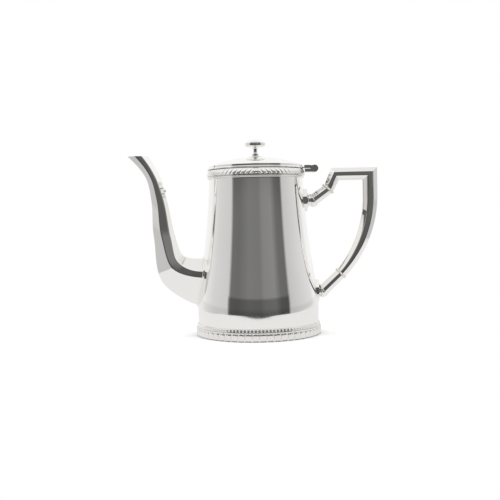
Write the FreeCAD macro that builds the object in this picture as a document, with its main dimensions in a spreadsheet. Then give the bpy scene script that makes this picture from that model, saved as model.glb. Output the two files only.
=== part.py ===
import FreeCAD, Part
import os
import re
import Sketcher

# A silver-plated teapot: spun tapering pot, cast leaf borders at foot and rim, faceted swan-neck spout,
# faceted angular handle on two insulated sockets, and a hinged low-domed lid with a turned finial.
# Origin: centre of the foot on the table. Z up, the spout towards -X, the handle towards +X.

doc = FreeCAD.newDocument("teapot")
dims = doc.addObject("Spreadsheet::Sheet", "dims")

# lengths in mm and leans in degrees; a row that starts with "=" follows from the others
sizes = [
    # pot
    ("wall", 1.2),               # sheet thickness of the pot
    ("solder_gap", 0.05),        # joint line between soldered pieces
    ("foot_radius", 57.5),       # outside of the foot border
    ("foot_step", 2.1),          # how far the foot border stands out
    ("band_radius", "=foot_radius - foot_step"),
    ("band_top", 22.2),          # where the upright band starts to turn in
    ("turn_height", 19.8),       # height of the turn into the taper
    ("turn_top", "=band_top + turn_height"),
    ("turn_inset", 1.68),        # how far the turn draws in
    ("neck_radius", 42.9),       # pot under the rim border
    ("neck_height", 141.7),      # underside of the rim border
    ("hollow_sag", 1.5),         # hollowness of the tapering wall
    # foot border and bottom
    ("foot_wall_top", 7.6),
    ("foot_height", 11.0),
    ("foot_sole", 0.95),         # sole under the pot's lower edge
    ("foot_lap", 2.0),           # how far the sole reaches under the pot
    ("foot_inner", "=band_radius - foot_lap"),
    ("bottom_recess", 2.2),      # hollow under the bottom plate
    ("bottom_thick", 1.4),
    # rim border
    ("rim_proud", 2.2),          # rim, bead and groove out from the neck
    ("rim_radius", "=neck_radius + rim_proud"),
    ("bead_proud", 1.6),
    ("rim_bead_radius", "=neck_radius + bead_proud"),
    ("rim_bead_height", 1.7),
    ("groove_proud", 1.0),
    ("rim_groove_radius", "=neck_radius + groove_proud"),
    ("rim_height", 8.4),
    ("rim_lip", 0.7),            # lip over the pot's top edge
    ("pot_top", "=neck_height + rim_height - rim_lip - solder_gap"),
    ("mouth_step", 1.9),
    ("mouth_radius", "=neck_radius - mouth_step"),
    # lid
    ("seat_gap", 0.1),           # lid flange above the rim
    ("lid_setback", 0.5),        # lid edge in from the rim's outside
    ("lid_radius", "=rim_radius - lid_setback"),
    ("lid_edge", 2.0),
    ("lid_flange_thick", 2.6),
    ("lid_flange_wide", 2.2),
    ("lid_shoulder", "=lid_radius - lid_flange_wide"),
    ("lid_rise", 11.0),          # top of the dome above the flange underside
    ("lid_bulge", 1.6),
    ("lid_sheet", 1.2),
    ("lid_seat", 9.2),           # flat for the finial
    ("bezel_play", 0.5),
    ("bezel_thick", 1.0),
    ("bezel_depth", 4.5),
    # finial
    ("rosette_radius", 6.4),
    ("rosette_edge", 0.9),
    ("rosette_height", 3.0),
    ("rosette_top", 3.4),
    ("knob_bead", 3.3),
    ("knob_neck", 2.2),
    ("knob_radius", 9.7),
    ("knob_under", 9.3),         # heights above the dome flat
    ("knob_low", 11.3),          # start of the knob's upright edge
    ("knob_wide", 13.6),         # end of the knob's upright edge
    ("knob_top", 16.8),
    ("stud_radius", 2.0),
    ("stud_play", 0.05),
    ("stud_length", 6.2),
    ("washer_radius", 5.5),
    ("washer_thick", 1.0),
    ("nut_flats", 7.0),
    ("nut_height", 3.0),
    # hinge
    ("hinge_out", 8.5),          # hinge pin out from the rim
    ("hinge_reach", "=rim_radius + hinge_out"),
    ("hinge_drop", 0.0),         # hinge pin below the top of the rim
    ("knuckle_radius", 3.3),
    ("hinge_width", 14.0),
    ("knuckle_middle", 5.2),
    ("knuckle_play", 0.3),
    ("hinge_pin_radius", 1.2),
    ("hinge_pin_play", 0.05),
    ("leaf_thick", 2.8),
    # spout
    ("spout_wall", 1.2),
    ("spout_root_height", 48.8),
    ("root_out", 0.6),           # reaches of the spout out from the band
    ("root_reach", "=band_radius + root_out"),
    ("root_half", 21.4),
    ("root_wide", 15.5),
    ("elbow_in_out", 12.6),
    ("elbow_in_reach", "=band_radius + elbow_in_out"),
    ("elbow_in_height", 73.2),
    ("elbow_out_out", 30.9),
    ("elbow_out_reach", "=band_radius + elbow_out_out"),
    ("elbow_out_height", 47.0),
    ("elbow_wide", 11.8),
    ("low_neck_out", 29.5),
    ("low_neck_reach", "=band_radius + low_neck_out"),
    ("low_neck_height", 90.0),
    ("low_neck_lean", 6.0),      # degrees from upright
    ("low_neck_half", 9.75),
    ("low_neck_wide", 8.2),
    ("high_neck_out", 34.0),
    ("high_neck_reach", "=band_radius + high_neck_out"),
    ("high_neck_drop", 16.5),    # below the underside of the rim
    ("high_neck_height", "=neck_height - high_neck_drop"),
    ("high_neck_lean", 8.0),
    ("high_neck_half", 7.0),
    ("high_neck_wide", 6.5),
    ("throat_out", 38.8),
    ("throat_reach", "=band_radius + throat_out"),
    ("throat_rise", 3.1),        # above the underside of the rim
    ("throat_height", "=neck_height + throat_rise"),
    ("throat_lean", 22.0),
    ("throat_half", 6.2),
    ("throat_wide", 6.0),
    ("lip_out", 51.6),
    ("lip_reach", "=band_radius + lip_out"),
    ("lip_lean", 46.0),
    ("lip_over", 14.0),          # lip carried on before it is cut level
    ("lip_half", 7.0),
    ("lip_wide", 6.0),
    ("mouth_rise", 22.7),        # level cut of the mouth above the underside of the rim
    ("mouth_height", "=neck_height + mouth_rise"),
    ("collar_grow", 1.6),
    ("collar_proud", 1.2),
    ("spout_hole", 12.0),
    ("bead_radius", 2.0),
    ("bead_out", 28.9),
    ("bead_reach", "=band_radius + bead_out"),
    ("bead_drop", 9.2),
    ("bead_height", "=neck_height - bead_drop"),
    # strainer
    ("grid_radius", 15.0),
    ("grid_sheet", 0.9),
    ("grid_hole", 1.6),
    ("grid_pitch", 5.2),
    # handle
    ("handle_wall", 1.2),
    ("upper_root_drop", 20.4),   # below the underside of the rim
    ("upper_root_height", "=neck_height - upper_root_drop"),
    ("upper_stub", 8.5),         # collar out from the neck
    ("upper_collar_reach", "=neck_radius + upper_stub"),
    ("upper_tube", 14.6),        # collar to ring
    ("upper_ring_reach", "=upper_collar_reach + upper_tube"),
    ("upper_tube_rise", 10.1),
    ("upper_ring_height", "=upper_root_height + upper_tube_rise"),
    ("rise_run", 6.4),           # ring to the first corner
    ("bar_start_reach", "=upper_ring_reach + rise_run"),
    ("grip_rise", 13.3),
    ("bar_height", "=upper_ring_height + grip_rise"),
    ("back_drop", 19.7),         # straight upper part of the back
    ("back_start", "=bar_height - back_drop"),
    ("lower_ring_height", 53.6),
    ("lower_stub", 3.6),         # collar out from the band
    ("lower_collar_reach", "=band_radius + lower_stub"),
    ("lower_tube", 17.5),
    ("lower_ring_reach", "=lower_collar_reach + lower_tube"),
    ("back_out", 27.9),          # back of the grip out from the lower ring
    ("back_reach", "=lower_ring_reach + back_out"),
    ("lower_root_height", 38.1),
    ("upper_foot_run", 5.0),     # collar to the end of the flared foot
    ("lower_foot_run", 3.2),
    ("foot_flare", 2.2),         # length of the flare
    ("bar_thick", 11.5),
    ("back_thick", 13.8),
    ("end_thick", 10.0),
    ("end_wide", 4.7),
    ("bar_wide", 5.6),
    ("root_foot_half", 10.2),
    ("root_foot_wide", 6.5),
    ("stub_half", 5.4),
    ("stub_wide", 5.0),
    ("stub_collar_grow", 1.2),
    ("stub_collar_half", 1.6),
    ("ring_thick", 1.9),
    ("ring_grow", 1.1),
    ("spigot_length", 9.0),
    ("pin_radius", 0.9),
    ("pin_back", 5.2),           # pin from the ring's middle
]

names = [name for name, value in sizes]
for row, (name, value) in enumerate(sizes, 1):
    dims.set("A%d" % row, name)
    dims.set("B%d" % row, str(value))
    dims.setAlias("B%d" % row, name)
doc.recompute()


def bind(text):
    # every size name in the text is read from the sheet
    return re.sub(r"[a-z_]{3,}", lambda m: ("dims." if m.group(0) in names else "") + m.group(0), str(text))


def worth(text):
    return float(dims.evalExpression(bind(text)))


def fix(sketch, geometry, point, across, up):
    for kind, text in (("DistanceX", across), ("DistanceY", up)):
        index = sketch.addConstraint(Sketcher.Constraint(kind, geometry, point, worth(text)))
        sketch.setExpression("Constraints[%d]" % index, bind(text))


def outline(sketch, corners):
    # closed outline; a corner is (across, up),
    # and (across, up, middle across, middle up) is reached by an arc
    ends = []
    count = len(corners)
    spots = [FreeCAD.Vector(worth(c[0]), worth(c[1]), 0) for c in corners]
    for k in range(count):
        start = spots[k]
        corner = corners[(k + 1) % count]
        end = spots[(k + 1) % count]
        if len(corner) == 2:
            index = sketch.addGeometry(Part.LineSegment(start, end))
            ends.append((index, 1, 2))
            continue
        middle = FreeCAD.Vector(worth(corner[2]), worth(corner[3]), 0)
        leftward = (middle - start).cross(end - start).z > 0
        if leftward:
            index = sketch.addGeometry(Part.Arc(start, middle, end))
            ends.append((index, 1, 2))
        else:
            index = sketch.addGeometry(Part.Arc(end, middle, start))
            ends.append((index, 2, 1))
        spot = sketch.addGeometry(Part.Point(middle), True)
        fix(sketch, spot, 1, corner[2], corner[3])
        sketch.addConstraint(Sketcher.Constraint("PointOnObject", spot, 1, index))
    for k in range(count):
        after = ends[(k + 1) % count]
        sketch.addConstraint(Sketcher.Constraint("Coincident", ends[k][0], ends[k][2], after[0], after[1]))
        fix(sketch, ends[k][0], ends[k][1], corners[k][0], corners[k][1])


def turned(label, corners):
    # a piece turned about the upright axis from its half section
    body = doc.addObject("PartDesign::Body", label)
    sketch = body.newObject("Sketcher::SketchObject", label + "_section")
    plane = [item for item in body.Origin.OriginFeatures if item.Role == "XZ_Plane"][0]
    sketch.AttachmentSupport = [(plane, "")]
    sketch.MapMode = "FlatFace"
    outline(sketch, corners)
    turn = body.newObject("PartDesign::Revolution", label + "_turn")
    turn.Profile = sketch
    turn.ReferenceAxis = (sketch, ["V_Axis"])
    turn.Angle = 360
    doc.recompute()
    return body


def boolean(kind, label, base, tool):
    item = doc.addObject("Part::" + kind, label)
    item.Base = base
    item.Tool = tool
    doc.recompute()
    return item


def joined(label, pieces):
    item = doc.addObject("Part::MultiFuse", label)
    item.Shapes = pieces
    doc.recompute()
    return item


def place(item, across, side, up, axis=(0, 1, 0), angle="0"):
    spot = "create(<<vector>>; %s; %s; %s)" % (bind(across), bind(side), bind(up))
    turn = "create(<<rotation>>; create(<<vector>>; %d; %d; %d); %s)" % (axis + (bind(angle),))
    item.setExpression("Placement", "create(<<placement>>; %s; %s)" % (spot, turn))


def block(label, low, high):
    item = doc.addObject("Part::Box", label)
    for prop, k in (("Length", 0), ("Width", 1), ("Height", 2)):
        item.setExpression(prop, bind("(%s) - (%s)" % (high[k], low[k])))
    place(item, *low)
    return item


def rod(label, radius, length, across, side, up, axis, angle):
    item = doc.addObject("Part::Cylinder", label)
    item.setExpression("Radius", bind(radius))
    item.setExpression("Height", bind(length))
    place(item, across, side, up, axis, angle)
    return item


def station(label, across, up, heading, inner, outer, wide, shares, inset):
    # eight-sided section across a path; heading in degrees from upright, the inner side is its positive x
    bevel, flank, inner_flat, outer_flat = shares
    section = doc.addObject("Sketcher::SketchObject", label)
    tall = "((%s) + (%s))" % (inner, outer)
    high = "(%s) - (%s)" % (inner, inset)
    low = "-(%s) + (%s)" % (outer, inset)
    wing = "((%s) - (%s))" % (wide, inset)
    upper = "(%s) - %s * %s" % (inner, tall, bevel)
    lower = "(%s) - %s * (%s)" % (inner, tall, bevel + flank)
    near = [(high, "-%s * %s" % (wing, inner_flat)), (upper, "-" + wing), (lower, "-" + wing),
            (low, "-%s * %s" % (wing, outer_flat))]
    far = [(across_, up_[1:]) for across_, up_ in reversed(near)]
    outline(section, near + far)
    place(section, across, "0", up, (0, 1, 0), heading)
    return section


def lofted(label, sections, ruled):
    item = doc.addObject("Part::Loft", label)
    item.Sections = sections
    item.Solid = True
    item.Ruled = ruled
    doc.recompute()
    return item


def halves(near_label, far_label, whole, low, high):
    # the two stampings, parted on the pot's plane of symmetry
    near = boolean("Common", near_label, whole, block(near_label + "_side", (low[0], "-foot_radius", low[1]),
                                                      (high[0], "-solder_gap / 2", high[1])))
    far = boolean("Common", far_label, whole, block(far_label + "_side", (low[0], "solder_gap / 2", low[1]),
                                                    (high[0], "foot_radius", high[1])))
    return near, far


# pot: outside line from the lower edge to the top edge, moved out by "grow"
def wall_line(grow):
    return [("band_radius + (%s)" % grow, "band_top"),
            ("band_radius - turn_inset + (%s)" % grow, "turn_top",
             "band_radius - turn_inset / 4 + (%s)" % grow, "(band_top + turn_top) / 2"),
            ("neck_radius + (%s)" % grow, "neck_height",
             "(band_radius - turn_inset + neck_radius) / 2 - hollow_sag + (%s)" % grow,
             "(turn_top + neck_height) / 2")]


def wall_back(grow):
    return [("neck_radius + (%s)" % grow, "neck_height"),
            ("band_radius - turn_inset + (%s)" % grow, "turn_top",
             "(band_radius - turn_inset + neck_radius) / 2 - hollow_sag + (%s)" % grow,
             "(turn_top + neck_height) / 2"),
            ("band_radius + (%s)" % grow, "band_top",
             "band_radius - turn_inset / 4 + (%s)" % grow, "(band_top + turn_top) / 2")]


def envelope(label, grow):
    return turned(label, [("0", "-1"), ("band_radius + (%s)" % grow, "-1")] + wall_line(grow)
                  + [("neck_radius + (%s)" % grow, "neck_height + 30"), ("0", "neck_height + 30")])


pot_foot = "foot_sole + solder_gap"
pot_solid = turned("pot_wall", [("band_radius - wall", pot_foot), ("band_radius", pot_foot)] + wall_line("0")
                   + [("neck_radius", "pot_top"), ("neck_radius - wall", "pot_top")] + wall_back("-wall"))
spout_way = rod("spout_way", "spout_hole", "band_radius", "-band_radius * 1.2", "0", "spout_root_height",
                (0, 1, 0), "90")
body_shell = boolean("Cut", "body_shell", pot_solid, spout_way)

plate_rim = "band_radius - wall - solder_gap"
bottom_plate = turned("bottom_plate", [("0", "bottom_recess"), (plate_rim, "bottom_recess"),
                                       (plate_rim, "bottom_recess + bottom_thick"),
                                       ("0", "bottom_recess + bottom_thick")])

foot_in = "band_radius + solder_gap"
foot_border = turned("foot_border", [
    ("foot_inner", "0"), ("foot_radius - 0.6", "0"), ("foot_radius", "0.6"), ("foot_radius", "foot_wall_top"),
    ("foot_radius - 0.7", "foot_wall_top + 0.7", "foot_radius - 0.2", "foot_wall_top + 0.5"),
    (foot_in + " + 0.2", "foot_height"), (foot_in, "foot_height"), (foot_in, "foot_sole"),
    ("foot_inner", "foot_sole")])

rim_top = "(neck_height + rim_height)"
rim_in = "neck_radius + solder_gap"
rim_border = turned("rim_border", [
    (rim_in, "neck_height"), ("rim_groove_radius", "neck_height"),
    ("rim_groove_radius", "neck_height + rim_bead_height", "rim_bead_radius",
     "neck_height + rim_bead_height / 2"),
    ("rim_groove_radius", "neck_height + rim_bead_height + 0.7"),
    ("rim_radius - 0.5", "neck_height + rim_bead_height + 1.1"),
    ("rim_radius - 0.5", rim_top + " - 0.4", "rim_radius",
     "neck_height + (rim_bead_height + rim_height + 0.7) / 2"),
    ("rim_radius - 0.8", rim_top), ("mouth_radius", rim_top), ("mouth_radius", rim_top + " - rim_lip"),
    (rim_in, rim_top + " - rim_lip")])

# lid: low dome with a flat for the finial, and a bezel that drops into the mouth
lid_low = "(%s + seat_gap)" % rim_top
lid_flat = "(%s + lid_rise)" % lid_low
stud_hole = "stud_radius + stud_play"
bezel_out = "(mouth_radius - bezel_play)"
lid_inner = bezel_out + " - bezel_thick - 0.4"
lid_cover = turned("lid_cover", [
    (lid_inner, lid_low), ("lid_radius", lid_low), ("lid_radius", lid_low + " + lid_edge"),
    ("lid_radius - 0.6", lid_low + " + lid_flange_thick"), ("lid_shoulder", lid_low + " + lid_flange_thick"),
    ("lid_seat", lid_flat, "(lid_shoulder + lid_seat) / 2",
     lid_low + " + (lid_flange_thick + lid_rise) / 2 + lid_bulge"),
    (stud_hole, lid_flat), (stud_hole, lid_flat + " - lid_sheet"), ("lid_seat", lid_flat + " - lid_sheet"),
    (lid_inner, lid_low + " + lid_sheet", "(%s + lid_seat) / 2" % lid_inner,
     lid_low + " + lid_rise / 2 + lid_bulge - 0.1")])

lid_bezel = turned("lid_bezel", [
    (bezel_out + " - bezel_thick", lid_low + " - bezel_depth"), (bezel_out, lid_low + " - bezel_depth"),
    (bezel_out, lid_low), (bezel_out + " - bezel_thick", lid_low)])

# finial: rosette, turned knob with its stud, washer and nut under the dome
rosette_roof = lid_flat + " + rosette_height"
finial_rosette = turned("finial_rosette", [
    (stud_hole, lid_flat), ("rosette_radius - 0.4", lid_flat),
    ("rosette_radius - 0.5", lid_flat + " + rosette_edge", "rosette_radius",
     lid_flat + " + rosette_edge / 2"),
    ("rosette_top", rosette_roof, "rosette_top + 1.2", lid_flat + " + rosette_edge + 0.9"),
    (stud_hole, rosette_roof)])

# the knob's top is a cap of a ball
cap_reach = "(knob_radius - 0.3)"
cap_slant = "sqrt(%s ^ 2 + (knob_top - knob_wide) ^ 2)" % cap_reach
cap_round = "((%s ^ 2 + (knob_top - knob_wide) ^ 2) / (2 * (knob_top - knob_wide)))" % cap_reach
finial_knob = turned("finial_knob", [
    ("0", lid_flat + " - stud_length"), ("stud_radius", lid_flat + " - stud_length"),
    ("stud_radius", rosette_roof), ("knob_bead - 0.5", rosette_roof),
    ("knob_neck", rosette_roof + " + 2.0", "knob_bead", rosette_roof + " + 1.0"),
    ("knob_neck + 2.2", lid_flat + " + knob_under", "knob_neck + 0.3",
     lid_flat + " + (rosette_height + 2.0 + knob_under) / 2"),
    ("knob_radius - 0.3", lid_flat + " + knob_low", "knob_radius - 2.2",
     lid_flat + " + knob_under + 0.6"),
    ("knob_radius - 0.3", lid_flat + " + knob_wide", "knob_radius",
     lid_flat + " + (knob_low + knob_wide) / 2"),
    ("0", lid_flat + " + knob_top", cap_slant + " / 2",
     "%s + knob_top - %s * (1 - %s / %s)" % (lid_flat, cap_round, cap_reach, cap_slant))])

washer_low = lid_flat + " - lid_sheet - washer_thick"
finial_washer = turned("finial_washer", [
    (stud_hole, washer_low), ("washer_radius", washer_low), ("washer_radius", lid_flat + " - lid_sheet"),
    (stud_hole, lid_flat + " - lid_sheet")])

nut_blank = doc.addObject("Part::Prism", "nut_blank")
nut_blank.Polygon = 6
nut_blank.setExpression("Circumradius", bind("nut_flats / 2 / cos(30)"))
nut_blank.setExpression("Height", bind("nut_height"))
place(nut_blank, "0", "0", washer_low + " - nut_height")
nut_bore = rod("nut_bore", stud_hole, "nut_height * 2", "0", "0", washer_low + " - nut_height * 1.5",
               (0, 0, 1), "0")
finial_nut = boolean("Cut", "finial_nut", nut_blank, nut_bore)

# hinge: bracket knuckles on the rim, middle knuckle on the lid, and the pin
pin_height = "(%s - hinge_drop)" % rim_top


def cross_rod(label, radius, low, high, across="hinge_reach", up=pin_height):
    return rod(label, radius, "(%s) - (%s)" % (high, low), across, low, up, (1, 0, 0), "-90")


half_width = "hinge_width / 2"
half_middle = "knuckle_middle / 2"
arm_top = rim_top + " - seat_gap * 3"
arm_low = arm_top + " - leaf_thick"
bracket_arm = block("bracket_arm", ("neck_radius", "-" + half_width, arm_low),
                    ("hinge_reach", half_width, arm_top))
bracket_roll = cross_rod("bracket_roll", "knuckle_radius", "-" + half_width, half_width)
bracket_whole = joined("bracket_whole", [bracket_arm, bracket_roll])
bracket_notch = cross_rod("bracket_notch", "knuckle_radius + knuckle_play",
                          "-%s - knuckle_play" % half_middle, half_middle + " + knuckle_play")
bracket_open = boolean("Cut", "bracket_open", bracket_whole, bracket_notch)
rim_core = rod("rim_core", "rim_radius + solder_gap", "60", "0", "0", rim_top + " - 30", (0, 0, 1), "0")
bracket_seat = boolean("Cut", "bracket_seat", bracket_open, rim_core)
pin_hole = cross_rod("pin_hole", "hinge_pin_radius + hinge_pin_play", "-" + half_width + " * 1.2",
                     half_width + " * 1.2")
hinge_bracket = boolean("Cut", "hinge_bracket", bracket_seat, pin_hole)

leaf_low = lid_low + " + seat_gap * 2"
leaf_arm = block("leaf_arm", ("lid_shoulder", "-" + half_width, leaf_low),
                 ("hinge_reach - knuckle_radius - knuckle_play * 2", half_width, leaf_low + " + leaf_thick"))
leaf_tongue = block("leaf_tongue", ("lid_shoulder", "-" + half_middle, leaf_low),
                    ("hinge_reach", half_middle, leaf_low + " + leaf_thick"))
leaf_roll = cross_rod("leaf_roll", "knuckle_radius", "-" + half_middle, half_middle)
leaf_whole = joined("leaf_whole", [leaf_arm, leaf_tongue, leaf_roll])
lid_core = rod("lid_core", "lid_radius + solder_gap", "40", "0", "0", lid_low + " - 20", (0, 0, 1), "0")
leaf_seat = boolean("Cut", "leaf_seat", leaf_whole, lid_core)
hinge_leaf = boolean("Cut", "hinge_leaf", leaf_seat, pin_hole)
hinge_pin = cross_rod("hinge_pin", "hinge_pin_radius", "-" + half_width, half_width)

# spout: straight root, elbow, leaning neck and lip; heading -90 points away from the pot, 0 points up
root_shares = (0.27, 0.15, 0.42, 0.28)
elbow_shares = (0.25, 0.25, 0.42, 0.30)
neck_shares = (0.23, 0.39, 0.42, 0.34)
lip_shares = (0.30, 0.31, 0.45, 0.40)


def spout_form(label, inset, past):
    beyond = "(lip_over + %s)" % past
    rows = [
        ("-neck_radius + wall * 2 + " + past, "spout_root_height", "-90", "root_half", "root_wide",
         root_shares),
        ("-root_reach", "spout_root_height", "-90", "root_half", "root_wide", root_shares),
        ("-(elbow_in_reach + elbow_out_reach) / 2", "(elbow_in_height + elbow_out_height) / 2",
         "(-atan2(elbow_in_height - elbow_out_height; elbow_out_reach - elbow_in_reach) / 1 deg)",
         "sqrt((elbow_in_height - elbow_out_height) ^ 2 + (elbow_out_reach - elbow_in_reach) ^ 2) / 2",
         "elbow_wide", elbow_shares),
        ("-low_neck_reach", "low_neck_height", "-low_neck_lean", "low_neck_half", "low_neck_wide",
         neck_shares),
        ("-high_neck_reach", "high_neck_height", "-high_neck_lean", "high_neck_half", "high_neck_wide",
         neck_shares),
        ("-throat_reach", "throat_height", "-throat_lean", "throat_half", "throat_wide", lip_shares),
        ("-lip_reach", "mouth_height", "-lip_lean", "lip_half", "lip_wide", lip_shares),
        ("-lip_reach - %s * sin(lip_lean + 2)" % beyond, "mouth_height + %s * cos(lip_lean + 2)" % beyond,
         "-lip_lean - 3", "lip_half", "lip_wide", lip_shares)]
    sections = []
    for k, (across, up, heading, half, wide, shares) in enumerate(rows):
        sections.append(station("%s_%d" % (label, k), across, up, heading, half, half, wide, shares, inset))
    return lofted(label, sections, False)


pot_skin = envelope("pot_skin", "solder_gap")
spout_outer = spout_form("spout_outer", "0", "0")
spout_inner = spout_form("spout_inner", "spout_wall", "wall * 2")
spout_tube = boolean("Cut", "spout_tube", spout_outer, spout_inner)
lip_level = block("lip_level", ("-lip_reach * 2", "-lip_reach", "mouth_height"),
                  ("0", "lip_reach", "mouth_height * 2"))
spout_level = boolean("Cut", "spout_level", spout_tube, lip_level)
spout_fitted = boolean("Cut", "spout_fitted", spout_level, pot_skin)
spout_near, spout_far = halves("spout_near_half", "spout_far_half", spout_fitted,
                               ("-lip_reach * 2", "0"), ("0", "mouth_height * 2"))

collar_sections = []
collar_half = "root_half + collar_grow"
for k, across in enumerate(("-neck_radius + wall * 4", "-root_reach - wall * 6")):
    collar_sections.append(station("spout_collar_%d" % k, across, "spout_root_height", "-90", collar_half,
                                   collar_half, "root_wide + collar_grow", root_shares, "0"))
collar_block = lofted("collar_block", collar_sections, True)
collar_skin = envelope("collar_skin", "solder_gap + collar_proud")
collar_sheet = boolean("Common", "collar_sheet", collar_block, collar_skin)
collar_bare = boolean("Cut", "collar_bare", collar_sheet, pot_skin)
spout_clear = spout_form("spout_clear", "-solder_gap", "wall")
spout_flange = boolean("Cut", "spout_flange", collar_bare, spout_clear)

# strainer: pierced curved plate soldered inside the pot over the spout hole
grid_skin = envelope("grid_skin", "-wall - solder_gap")
grid_core = envelope("grid_core", "-wall - solder_gap - grid_sheet")
grid_round = rod("grid_round", "grid_radius", "band_radius", "-band_radius * 1.2", "0", "spout_root_height",
                 (0, 1, 0), "90")
grid_slug = boolean("Common", "grid_slug", grid_round, grid_skin)
grid_plate = boolean("Cut", "grid_plate", grid_slug, grid_core)
grid_holes = []
for row in (-2, -1, 0, 1, 2):
    for k in range(5 - abs(row)):
        side = "grid_pitch * %s" % (k - (4 - abs(row)) / 2.0)
        up = "spout_root_height + grid_pitch * sin(60) * %d" % row
        grid_holes.append(rod("grid_hole_%d_%d" % (row + 2, k), "grid_hole", "band_radius",
                              "-band_radius * 1.2", side, up, (0, 1, 0), "90"))
grid_punch = joined("grid_punch", grid_holes)
strainer_grid = boolean("Cut", "strainer_grid", grid_plate, grid_punch)

# handle: sockets on the pot, insulating rings, and a two-part hollow grip with sharp upper corners
arc_drop = "(back_start - lower_ring_height)"
back_turn = "(2 * atan2(back_out; %s) / 1 deg)" % arc_drop
back_bend = "(%s / sin(%s))" % (arc_drop, back_turn)
tube_heading = "(atan2(upper_tube; upper_ring_height - upper_root_height) / 1 deg)"
rise_heading = "(atan2(rise_run; bar_height - upper_ring_height) / 1 deg)"
ring_heading = "((%s + %s) / 2)" % (tube_heading, rise_heading)
ring_stretch = "cos((%s - %s) / 2)" % (tube_heading, rise_heading)
corner_heading = "((%s + 90) / 2)" % rise_heading
corner_stretch = "cos((90 - %s) / 2)" % rise_heading
foot_heading = "(atan2(-lower_tube; lower_root_height - lower_ring_height) / 1 deg)"
lower_heading = "((180 + %s + 360 + %s) / 2)" % (back_turn, foot_heading)
lower_stretch = "cos((180 + %s - 360 - %s) / 2)" % (back_turn, foot_heading)
grip_shares = (0.33, 0.34, 0.40, 0.40)
half_end = "end_thick / 2"


def back_spot(share):
    return ("back_reach - %s * (1 - cos(%s * %s))" % (back_bend, back_turn, share),
            "back_start - %s * sin(%s * %s)" % (back_bend, back_turn, share))


def row_of(label, rows, inset):
    sections = []
    for k, (across, up, heading, half, wide) in enumerate(rows):
        name = "%s_%d" % (label, k)
        sections.append(station(name, across, up, heading, half, half, wide, grip_shares, inset))
    return sections


upper_ring = ("upper_ring_reach", "upper_ring_height", ring_heading, half_end + " / " + ring_stretch,
              "end_wide")
lower_ring = ("lower_ring_reach", "lower_ring_height", lower_heading, half_end + " / " + lower_stretch,
              "end_wide")
corner_rise = ("bar_start_reach", "bar_height", corner_heading, "bar_thick / 2 / " + corner_stretch,
               "bar_wide")
bar_early = ("bar_start_reach + bar_thick * 0.9", "bar_height", "90", "bar_thick / 2", "bar_wide")
bar_late = ("back_reach - bar_thick * 0.9", "bar_height", "90", "bar_thick / 2", "bar_wide")
corner_back = ("back_reach", "bar_height", "(atan2(bar_thick; -back_thick) / 1 deg)",
               "sqrt(bar_thick * bar_thick + back_thick * back_thick) / 2", "bar_wide")
back_top = ("back_reach", "back_start", "180", "back_thick / 2", "bar_wide")


def back_row(share):
    spot = back_spot(share)
    half = "(back_thick + (end_thick - back_thick) * %s) / 2" % (share * (0.5 + 0.5 * share))
    return (spot[0], spot[1], "180 + %s * %s" % (back_turn, share), half,
            "bar_wide + (end_wide - bar_wide) * %s" % (share * share))


def grip_form(label, inset):
    bends = [upper_ring, corner_rise, bar_early, bar_late, corner_back, back_top]
    upper = lofted(label + "_bar", row_of(label + "_bar", bends, inset), True)
    rows = [back_top] + [back_row(share) for share in (0.25, 0.5, 0.75)] + [lower_ring]
    lower = lofted(label + "_back", row_of(label + "_back", rows, inset), False)
    return upper, lower


def ring_slab(label, ring, thick):
    item = doc.addObject("Part::Cylinder", label)
    item.setExpression("Radius", bind("back_thick"))
    item.setExpression("Height", bind(thick))
    half = "((%s) / 2)" % thick
    place(item, "%s - %s * sin(%s)" % (ring[0], half, ring[2]), "0",
          "%s - %s * cos(%s)" % (ring[1], half, ring[2]), (0, 1, 0), ring[2])
    return item


def along(ring, heading, reach):
    return ("%s + (%s) * sin(%s)" % (ring[0], reach, heading),
            "%s + (%s) * cos(%s)" % (ring[1], reach, heading))


upper_slab = ring_slab("upper_slab", upper_ring, "ring_thick + solder_gap * 2")
lower_slab = ring_slab("lower_slab", lower_ring, "ring_thick + solder_gap * 2")
back_heading = "(180 + %s)" % back_turn
lower_foot_heading = "(360 + %s)" % foot_heading
pin_spots = [along(upper_ring, tube_heading, "-pin_back"), along(upper_ring, rise_heading, "pin_back"),
             along(lower_ring, back_heading, "-pin_back"), along(lower_ring, lower_foot_heading, "pin_back")]


def pin_set(label, radius, half):
    pins = []
    for k, spot in enumerate(pin_spots):
        pins.append(cross_rod("%s_%d" % (label, k), radius, "-(%s)" % half, half, spot[0], spot[1]))
    return joined(label, pins)


pin_drill = pin_set("pin_drill", "pin_radius + solder_gap", "bar_wide + 2")
handle_pins = pin_set("handle_pins", "pin_radius", "end_wide - 0.15")
cutters = joined("cutters", [upper_slab, lower_slab, pin_drill])

bar_outer, back_outer = grip_form("grip_outer", "0")
bar_inner, back_inner = grip_form("grip_inner", "handle_wall")
bar_tube = boolean("Cut", "bar_tube", bar_outer, bar_inner)
back_tube = boolean("Cut", "back_tube", back_outer, back_inner)
grip_tube = joined("grip_tube", [bar_tube, back_tube])
grip_cut = boolean("Cut", "grip_cut", grip_tube, cutters)
handle_near, handle_far = halves("handle_near_half", "handle_far_half", grip_cut, ("0", "0"),
                                 ("back_reach * 2", "bar_height * 2"))


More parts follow.
